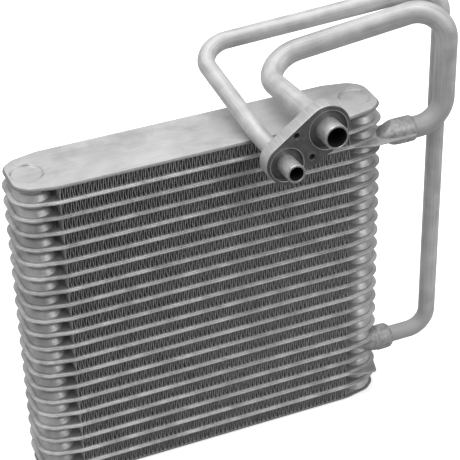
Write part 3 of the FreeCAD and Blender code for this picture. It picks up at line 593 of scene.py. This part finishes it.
# A broken dark ring at the foot of each recess wall is painted shade of the recess.
SHADE_RING_RADIUS_MM = 11
apart = add_node(tree, "ShaderNodeSeparateXYZ", {0: place})
away = add_node(tree, "ShaderNodeMath", {0: apart.outputs["X"]}, operation="ABSOLUTE")
away = add_node(tree, "ShaderNodeMath", {0: away.outputs[0], 1: RECESS_X * MM}, operation="SUBTRACT")
away = add_node(tree, "ShaderNodeCombineXYZ", {0: away.outputs[0], 1: apart.outputs["Y"]})
away = add_node(tree, "ShaderNodeVectorMath", {0: away.outputs[0]}, operation="LENGTH")
away = add_node(tree, "ShaderNodeMath",
                {0: away.outputs["Value"], 1: SHADE_RING_RADIUS_MM * MM}, operation="SUBTRACT")
away = add_node(tree, "ShaderNodeMath", {0: away.outputs[0]}, operation="ABSOLUTE")
ring = add_node(tree, "ShaderNodeMapRange",
                {"Value": away.outputs[0], "From Min": 0.2 * MM, "From Max": 1.6 * MM,
                 "To Min": 1.0, "To Max": 0.0})
broken = add_node(tree, "ShaderNodeMapRange",
                  {"Value": warp.outputs["Fac"], "From Min": 0.46, "From Max": 0.62,
                   "To Min": 0.0, "To Max": 0.9})
recess_shade = add_node(tree, "ShaderNodeMath",
                 {0: ring.outputs[0], 1: broken.outputs[0]}, operation="MULTIPLY")
stains_and_shade = add_node(tree, "ShaderNodeMix", data_type="RGBA",
                   links={0: recess_shade.outputs[0], 6: stains_and_shade.outputs[2], 7: linear("#8c8c8c")})
stretch = add_node(tree, "ShaderNodeMapping", {"Vector": place, "Scale": (0.03, 1, 0.03)})
rolling = add_node(tree, "ShaderNodeTexNoise",
                   {"Vector": stretch.outputs[0], "Scale": 1 / (ROLLING_MM * MM)})
marks = add_node(tree, "ShaderNodeMapRange",
                 {"Value": rolling.outputs["Fac"], "From Min": 0.3, "From Max": 0.7,
                  "To Min": 0.93, "To Max": 1.03})
colour = add_node(tree, "ShaderNodeMix", data_type="RGBA", blend_type="MULTIPLY",
                  links={0: 1.0, 6: stains_and_shade.outputs[2], 7: marks.outputs[0]})
tree.links.new(colour.outputs[2], shader.inputs["Base Color"])
dull = add_node(tree, "ShaderNodeMapRange",
                {"Value": warp.outputs["Fac"], "From Min": 0.3, "From Max": 0.7,
                 "To Min": 0.42, "To Max": 0.6})
tree.links.new(dull.outputs[0], shader.inputs["Roughness"])
bump = add_node(tree, "ShaderNodeBump",
                {"Height": warp.outputs["Fac"], "Strength": 0.3, "Distance": 0.3 * MM})
tree.links.new(bump.outputs[0], shader.inputs["Normal"])


# The plate's rolled edge: painted darker grey than its face as painted shade, for it turns down
# away from the light; duller, and scuffed by the die in marks 2 mm long.
SCUFF_MM = 2
shaded_rolled_edge, tree, shader, place = new_material("rolled_plate_edge_painted_shade",
                                                {"Metallic": 0.3, "Roughness": 0.6})
scuff = add_node(tree, "ShaderNodeTexNoise",
                 {"Vector": place, "Scale": 1 / (SCUFF_MM * MM), "Detail": 3.0})
colour = add_node(tree, "ShaderNodeMix", data_type="RGBA",
                  links={0: scuff.outputs["Fac"], 6: linear("#707070"), 7: linear("#9c9c9c")})
tree.links.new(colour.outputs[2], shader.inputs["Base Color"])


def end_plate(name, node, face_z, inward, recessed):
    """A plate whose cups point inwards, from its outer face at a height."""
    bm = bmesh.new()
    rings = [at_height(drawn_in(plate_outline, inset), face_z + inward * deep)
             for inset, deep in END_EDGE]
    made = loft(bm, rings, capped=False)
    # The rolled edge, which takes the painted shade, begins at the third ring.
    edge_faces = {face for ring in made[2:-1] for vert in ring for face in vert.link_faces}
    for face in edge_faces:
        face.material_index = 1
    bm.faces.new(made[-1])
    if recessed:
        borders = [made[0]]
        for side in (-1, 1):
            middle = (side * RECESS_X, 0)
            rings = [at_height(circle(middle, radius), face_z + inward * deep)
                     for radius, deep in RECESS_PROFILE]
            bowl = loft(bm, rings, capped=False)
            bm.faces.new(bowl[-1])
            borders.append(bowl[0])
        edges = [bm.edges.get((ring[i - 1], ring[i])) for ring in borders for i in range(len(ring))]
        bmesh.ops.triangle_fill(bm, use_beauty=True, edges=edges, normal=(0, 0, 1))
    else:
        bm.faces.new(made[0])
    for cup in (right_cup, left_cup):
        loft(bm, [at_height(drawn_in(cup, inset), face_z + inward * deep)
                  for inset, deep in END_CUP])
    finish_piece(bm, name, [flux_plate, shaded_rolled_edge], [node])


end_plate("lower_plate", "bottom_end_plate", 0, 1, recessed=False)
end_plate("upper_plate", "top_end_plate", TOP_FACE_Z, -1, recessed=True)


# Pipes and their ferrule.
# Drawn aluminium tube, bent cold and torch-brazed to the core. The suction pipe stands in the
# spout. The liquid pipe enters between two cups, with a turned ferrule against their noses.
PIPE_SIDES = 40
# Outside and bore radii.
SUCTION_RADII = (7.95, 6.75)
LIQUID_RADII = (6.35, 5.15)
# Drawn tube: pale satin, with lengthwise die marks 1.1 mm apart round the tube and cloudy handling
# marks 12 mm long. For some 40 mm from each torch joint the flame has greyed and dulled it.
DIE_MARK_MM = 1.1
HANDLING_MM = 12
# The two joints: their x, the height halfway between them, and half their distance.
TORCH_PLACE_MM = (158, 135.5, 93)
TORCH_REACH_MM = (8, 42)
drawn_tube, tree, shader, place = new_material("drawn_aluminium_tube", {"Metallic": 0.4})
along_tube = add_node(tree, "ShaderNodeUVMap", uv_map="along_and_round").outputs[0]
stretch = add_node(tree, "ShaderNodeMapping", {"Vector": along_tube, "Scale": (0.025, 1, 1)})
marks = add_node(tree, "ShaderNodeTexNoise",
                 {"Vector": stretch.outputs[0], "Scale": 1 / (DIE_MARK_MM * MM), "Detail": 3.0})
cloud = add_node(tree, "ShaderNodeTexNoise",
                 {"Vector": place, "Scale": 1 / (HANDLING_MM * MM), "Detail": 5.0})
mixed = add_node(tree, "ShaderNodeMath", {0: marks.outputs["Fac"], 1: 0.6}, operation="MULTIPLY")
mixed = add_node(tree, "ShaderNodeMath", operation="MULTIPLY_ADD",
                 links={0: cloud.outputs["Fac"], 1: 0.6, 2: mixed.outputs[0]})
tone = add_node(tree, "ShaderNodeMapRange",
                {"Value": mixed.outputs[0], "From Min": 0.42, "From Max": 0.72})
colour = add_node(tree, "ShaderNodeMix", data_type="RGBA",
                  links={0: tone.outputs[0], 6: linear("#b8b8b8"), 7: linear("#d6d6d6")})
apart = add_node(tree, "ShaderNodeSeparateXYZ", {0: place})
out = add_node(tree, "ShaderNodeMath",
               {0: apart.outputs["X"], 1: TORCH_PLACE_MM[0] * MM}, operation="SUBTRACT")
up = add_node(tree, "ShaderNodeMath",
              {0: apart.outputs["Z"], 1: TORCH_PLACE_MM[1] * MM}, operation="SUBTRACT")
up = add_node(tree, "ShaderNodeMath", {0: up.outputs[0]}, operation="ABSOLUTE")
up = add_node(tree, "ShaderNodeMath",
              {0: up.outputs[0], 1: TORCH_PLACE_MM[2] * MM}, operation="SUBTRACT")
away = add_node(tree, "ShaderNodeCombineXYZ", {0: out.outputs[0], 2: up.outputs[0]})
away = add_node(tree, "ShaderNodeVectorMath", {0: away.outputs[0]}, operation="LENGTH")
heat = add_node(tree, "ShaderNodeMapRange",
                {"Value": away.outputs["Value"], "From Min": TORCH_REACH_MM[0] * MM,
                 "From Max": TORCH_REACH_MM[1] * MM, "To Min": 0.7, "To Max": 0.0})
dulled = add_node(tree, "ShaderNodeMix", data_type="RGBA",
                  links={0: heat.outputs[0], 6: colour.outputs[2], 7: linear("#a8a8a8")})
tree.links.new(dulled.outputs[2], shader.inputs["Base Color"])
gloss = add_node(tree, "ShaderNodeMapRange",
                 {"Value": cloud.outputs["Fac"], "From Min": 0.3, "From Max": 0.7,
                  "To Min": 0.52, "To Max": 0.66})
gloss = add_node(tree, "ShaderNodeMath",
                 {0: heat.outputs[0], 1: 0.14, 2: gloss.outputs[0]}, operation="MULTIPLY_ADD")
tree.links.new(gloss.outputs[0], shader.inputs["Roughness"])
bump = add_node(tree, "ShaderNodeBump",
                {"Height": marks.outputs["Fac"], "Strength": 0.12, "Distance": 0.1 * MM})
tree.links.new(bump.outputs[0], shader.inputs["Normal"])


# Inside a pipe or spigot the metal is dull with drawing soap, and hardly any light reaches it,
# so its colour is painted nearly black as painted shade, unevenly over 3 mm.
BORE_MOTTLE_MM = 3
shaded_bore, tree, shader, place = new_material("bore_painted_shade", {"Metallic": 0.2, "Roughness": 0.8})
bore_mottle = add_node(tree, "ShaderNodeTexNoise",
                {"Vector": place, "Scale": 1 / (BORE_MOTTLE_MM * MM), "Detail": 3.0})
colour = add_node(tree, "ShaderNodeMix", data_type="RGBA",
                  links={0: bore_mottle.outputs["Fac"], 6: linear("#161616"), 7: linear("#2e2e2e")})
tree.links.new(colour.outputs[2], shader.inputs["Base Color"])


def bent_line(corners, bends):
    """Centre line of a bent pipe: its points and directions, with true arcs of the given radii."""
    corners = [Vector(corner) for corner in corners]
    line = [(corners[0], (corners[1] - corners[0]).normalized())]
    for before, corner, after, radius in zip(corners, corners[1:], corners[2:], bends):
        way_in, way_out = (corner - before).normalized(), (after - corner).normalized()
        turn = way_in.angle(way_out)
        axis = way_in.cross(way_out).normalized()
        start = corner - way_in * (radius * math.tan(turn / 2))
        middle = start + axis.cross(way_in) * radius
        pieces = math.ceil(turn / math.radians(5))
        for k in range(pieces + 1):
            spin = Matrix.Rotation(turn * k / pieces, 3, axis)
            line.append((middle + spin @ (start - middle), spin @ way_in))
    line.append((corners[-1], (corners[-1] - corners[-2]).normalized()))
    return line


def bent_pipe(name, node, corners, bends, radius, bore):
    """A hollow pipe along its line, with its length and girth as the piece's own UV map."""
    line = bent_line(corners, bends)
    across = line[0][1].orthogonal().normalized()
    travel = 0
    stations = []
    for i, (place, way) in enumerate(line):
        if i:
            across = (line[i - 1][1].rotation_difference(way) @ across).normalized()
            travel += (place - line[i - 1][0]).length
        stations.append((place, across, way.cross(across), travel))
    bm = bmesh.new()
    layer = bm.loops.layers.uv.new("along_and_round")
    walls = []
    for size in (radius, bore):
        walls.append([[bm.verts.new((place + (u * math.cos(t) + v * math.sin(t)) * size) * MM)
                       for t in (2 * math.pi * k / PIPE_SIDES for k in range(PIPE_SIDES))]
                      for place, u, v, travel in stations])
    # The bore and, below, the pipe's two end faces take the bore's painted shade.
    for wall, material_index in zip(walls, (0, 1)):
        for i in range(1, len(wall)):
            for k in range(PIPE_SIDES):
                j = (k + 1) % PIPE_SIDES
                face = bm.faces.new((wall[i - 1][k], wall[i - 1][j], wall[i][j], wall[i][k]))
                face.material_index = material_index
                girths = (k, k + 1, k + 1, k)
                travels = (stations[i - 1][3], stations[i - 1][3], stations[i][3], stations[i][3])
                for loop, girth, gone in zip(face.loops, girths, travels):
                    loop[layer].uv = (gone * MM, girth / PIPE_SIDES * 2 * math.pi * radius * MM)
    for end in (0, -1):
        for k in range(PIPE_SIDES):
            j = (k + 1) % PIPE_SIDES
            face = bm.faces.new((walls[0][end][k], walls[0][end][j],
                                 walls[1][end][j], walls[1][end][k]))
            face.material_index = 1
    finish_piece(bm, name, [drawn_tube, shaded_bore], [node])


# Corners of the pipes' centre lines, and the radius of each bend between them.
SUCTION_CORNERS = [(148, -19, 228.5), (183, -19, 228.5), (183, -19, 324), (62.6, 48, 268.9),
                   (71.1, -43.61, 270.67), (71.1, -61.06, 272.05)]
SUCTION_BENDS = [20, 20, 20, 20]
LIQUID_CORNERS = [(124, -14, 42.5), (180, -14, 42.5), (188.5, 0, 326.5), (27.1, 68, 280.5),
                  (34, -30, 260.2), (40, -45.06, 252.23), (40, -62.51, 253.6)]
LIQUID_BENDS = [16, 16, 16, 13, 13]
bent_pipe("suction_line", "suction_pipe", SUCTION_CORNERS, SUCTION_BENDS, *SUCTION_RADII)
bent_pipe("liquid_line", "liquid_pipe", LIQUID_CORNERS, LIQUID_BENDS, *LIQUID_RADII)

FERRULE_PROFILE = [(135, 6.4), (135, 8.9), (136, 9.6), (138, 9.75), (144, 9.7), (146, 9.3),
                   (147.4, 8.3), (148, 7.2), (148, 6.4)]
bm = bmesh.new()
loft(bm, [oval(x, STUB_AXIS, radius, radius, 2) for x, radius in FERRULE_PROFILE],
     capped=False, closed=True)
finish_piece(bm, "ferrule_ring", [torched], ["liquid_ferrule"])


# Flange block and its spigots.
# The block is cut from an extruded bar with two round ends; its front is milled dull, painted dark
# as painted shade. The spigots are turned, stand in its two seal recesses and take the hoses' O-rings.
BLOCK_PLACE = Vector((40, -65, 253.8))
BLOCK_TILT = math.radians(4.5)
BLOCK_UP = Vector((0, math.sin(BLOCK_TILT), math.cos(BLOCK_TILT)))
BLOCK_FRONT = Vector((0, -math.cos(BLOCK_TILT), math.sin(BLOCK_TILT)))
BLOCK_GAUGE = 12
# Depth of the recesses that take the hoses' seals.
SEAL_RECESS = 2.5
LIQUID_RECESS_RADIUS = 12
SUCTION_RECESS_RADIUS = 14
# Places on the front: both bores, both round ends with their radii, and the screw holes.
LIQUID_BORE = (0, 0)
SUCTION_BORE = (31.1, 18.5)
LOBES = [(-0.7, 1, 14.5), (30.4, 19.5, 17)]
SCREW_HOLES = [(7.7, 19.6), (18.4, 1.4)]
# Each spigot's outside radius, bore radius and reach out of the front.
LIQUID_SPIGOT = (6.65, 5.1, 15)
SUCTION_SPIGOT = (8.7, 7.2, 13)


def on_block(outline, out):
    """A flat outline on the block's front, raised out of it by a distance."""
    return [BLOCK_PLACE + Vector((point.x, 0, 0)) + BLOCK_UP * point.y + BLOCK_FRONT * out
            for point in outline]


def lobed_outline():
    """Two round ends joined by straight sides that touch both."""
    (ax, ay, small), (bx, by, big) = LOBES
    lean = math.atan2(by - ay, bx - ax)
    spread = math.acos((small - big) / math.hypot(bx - ax, by - ay))
    ring = []
    for middle, radius, start, turn in (((bx, by), big, lean - spread, 2 * spread),
                                        ((ax, ay), small, lean + spread, 2 * math.pi - 2 * spread)):
        pieces = math.ceil(turn / ARC_STEP)
        for k in range(pieces + 1):
            angle = start + turn * k / pieces
            ring.append(Vector(middle) + Vector((math.cos(angle), math.sin(angle))) * radius)
    return ring


# Milled front: dull, and painted a dark grey as painted shade, in clouds 7 mm wide, with fine
# cutter marks 0.7 mm apart.
CUTTER_MM = 0.7
MILLED_CLOUD_MM = 7
shaded_milled_front, tree, shader, place = new_material("milled_aluminium_painted_shade", {"Metallic": 0.6, "Roughness": 0.42})
cutter = add_node(tree, "ShaderNodeTexNoise",
                  {"Vector": place, "Scale": 1 / (CUTTER_MM * MM), "Detail": 3.0})
cloud = add_node(tree, "ShaderNodeTexNoise",
                 {"Vector": place, "Scale": 1 / (MILLED_CLOUD_MM * MM), "Detail": 4.0})
tone = add_node(tree, "ShaderNodeMapRange",
                {"Value": cloud.outputs["Fac"], "From Min": 0.35, "From Max": 0.65})
colour = add_node(tree, "ShaderNodeMix", data_type="RGBA",
                  links={0: tone.outputs[0], 6: linear("#6a6a6a"), 7: linear("#808080")})
tree.links.new(colour.outputs[2], shader.inputs["Base Color"])
bump = add_node(tree, "ShaderNodeBump",
                {"Height": cutter.outputs["Fac"], "Strength": 0.3, "Distance": 0.1 * MM})
tree.links.new(bump.outputs[0], shader.inputs["Normal"])

# Extruded sides: pale satin, with lines 1.5 mm apart that run through the block's thickness.
EXTRUSION_MM = 1.5
extruded, tree, shader, place = new_material("extruded_aluminium", {"Metallic": 0.5, "Roughness": 0.45})
stretch = add_node(tree, "ShaderNodeMapping", {"Vector": place, "Scale": (1, 0.06, 1)})
lines = add_node(tree, "ShaderNodeTexNoise",
                 {"Vector": stretch.outputs[0], "Scale": 1 / (EXTRUSION_MM * MM), "Detail": 3.0})
tone = add_node(tree, "ShaderNodeMapRange",
                {"Value": lines.outputs["Fac"], "From Min": 0.3, "From Max": 0.7})
colour = add_node(tree, "ShaderNodeMix", data_type="RGBA",
                  links={0: tone.outputs[0], 6: linear("#b8b8b8"), 7: linear("#d2d2d2")})
tree.links.new(colour.outputs[2], shader.inputs["Base Color"])

bm = bmesh.new()
lobes = lobed_outline()
# Insets from the outline and heights over the front, from the back to the front.
BLOCK_EDGE = [(1.2, -BLOCK_GAUGE), (0.4, -BLOCK_GAUGE), (0.1, 0.2 - BLOCK_GAUGE),
              (0, 0.5 - BLOCK_GAUGE), (0, -0.9), (0.08, -0.5), (0.25, -0.2), (0.55, 0), (1.1, 0)]
body = loft(bm, [on_block(drawn_in(lobes, inset), out) for inset, out in BLOCK_EDGE], capped=False)
borders_front, borders_back = [body[-1]], [body[0]]
painted_highlight_rings = []
for middle, recess, bore in ((LIQUID_BORE, LIQUID_RECESS_RADIUS, LIQUID_RADII[0]),
                             (SUCTION_BORE, SUCTION_RECESS_RADIUS, SUCTION_RADII[0])):
    profile = [(recess + 0.5, 0), (recess + 0.15, -0.12), (recess, -0.35),
               (recess - 0.05, 0.3 - SEAL_RECESS), (recess - 0.4, -SEAL_RECESS),
               (bore + 0.6, -SEAL_RECESS), (bore, -SEAL_RECESS), (bore, 0.1 - BLOCK_GAUGE),
               (bore + 0.2, -BLOCK_GAUGE)]
    made = loft(bm, [on_block(circle(middle, radius), out) for radius, out in profile], capped=False)
    borders_front.append(made[0])
    borders_back.append(made[-1])
    painted_highlight_rings += [face for vert in made[1] for face in vert.link_faces]
for middle in SCREW_HOLES:
    profile = [(2.5, 0), (2.3, -0.1), (2.1, -0.4), (2.1, 0.2 - BLOCK_GAUGE), (2.3, -BLOCK_GAUGE)]
    made = loft(bm, [on_block(circle(middle, radius, 24), out) for radius, out in profile],
                capped=False)
    borders_front.append(made[0])
    borders_back.append(made[-1])
for borders, normal in ((borders_front, BLOCK_FRONT), (borders_back, -BLOCK_FRONT)):
    edges = [bm.edges.get((ring[i - 1], ring[i])) for ring in borders for i in range(len(ring))]
    bmesh.ops.triangle_fill(bm, use_beauty=True, edges=edges, normal=normal)
# The extruded sides lie between the second ring and the sixth.
side_faces = {face for ring in body[1:6] for vert in ring for face in vert.link_faces}
for face in bm.faces:
    face.material_index = 1 if face in side_faces else 0
# The lips of the seal recesses keep the pale side metal, a painted highlight against the painted shade
# of the front.
for face in painted_highlight_rings:
    face.material_index = 1
finish_piece(bm, "flange_body", [shaded_milled_front, extruded], ["flange_block"])

# Turned spigots: bright, handled in clouds 6 mm wide, with fine rings 0.6 mm apart from the tool.
HANDLED_MM = 6
TOOL_RING_MM = 0.6
turned, tree, shader, place = new_material("turned_aluminium", {"Metallic": 0.65, "Roughness": 0.34})
cloud = add_node(tree, "ShaderNodeTexNoise",
                 {"Vector": place, "Scale": 1 / (HANDLED_MM * MM), "Detail": 4.0})
stretch = add_node(tree, "ShaderNodeMapping", {"Vector": place, "Scale": (0.05, 1, 0.05)})
rings = add_node(tree, "ShaderNodeTexNoise",
                 {"Vector": stretch.outputs[0], "Scale": 1 / (TOOL_RING_MM * MM)})
tone = add_node(tree, "ShaderNodeMapRange",
                {"Value": cloud.outputs["Fac"], "From Min": 0.35, "From Max": 0.65})
colour = add_node(tree, "ShaderNodeMix", data_type="RGBA",
                  links={0: tone.outputs[0], 6: linear("#b6b6b6"), 7: linear("#d4d4d4")})
tree.links.new(colour.outputs[2], shader.inputs["Base Color"])
bump = add_node(tree, "ShaderNodeBump",
                {"Height": rings.outputs["Fac"], "Strength": 0.3, "Distance": 0.1 * MM})
tree.links.new(bump.outputs[0], shader.inputs["Normal"])


def spigot(name, node, middle, radius, bore, reach):
    """A turned tube that stands on the recess floor, with a soft lip."""
    profile = [(radius, -SEAL_RECESS), (radius, reach - 0.5), (radius - 0.1, reach - 0.2),
               (radius - 0.35, reach), (bore + 0.2, reach), (bore, reach - 0.25), (bore, -SEAL_RECESS)]
    bm = bmesh.new()
    rings = loft(bm, [on_block(circle(middle, size), out) for size, out in profile],
                 capped=False, closed=True)
    mouth, root = set(rings[-2]), set(rings[-1])
    # The bore wall takes the bore's painted shade.
    for face in bm.faces:
        if mouth.issuperset(face.verts) or mouth.union(root).issuperset(face.verts):
            face.material_index = 1
    finish_piece(bm, name, [turned, shaded_bore], [node])


spigot("liquid_port", "liquid_spigot", LIQUID_BORE, *LIQUID_SPIGOT)
spigot("suction_port", "suction_spigot", SUCTION_BORE, *SUCTION_SPIGOT)
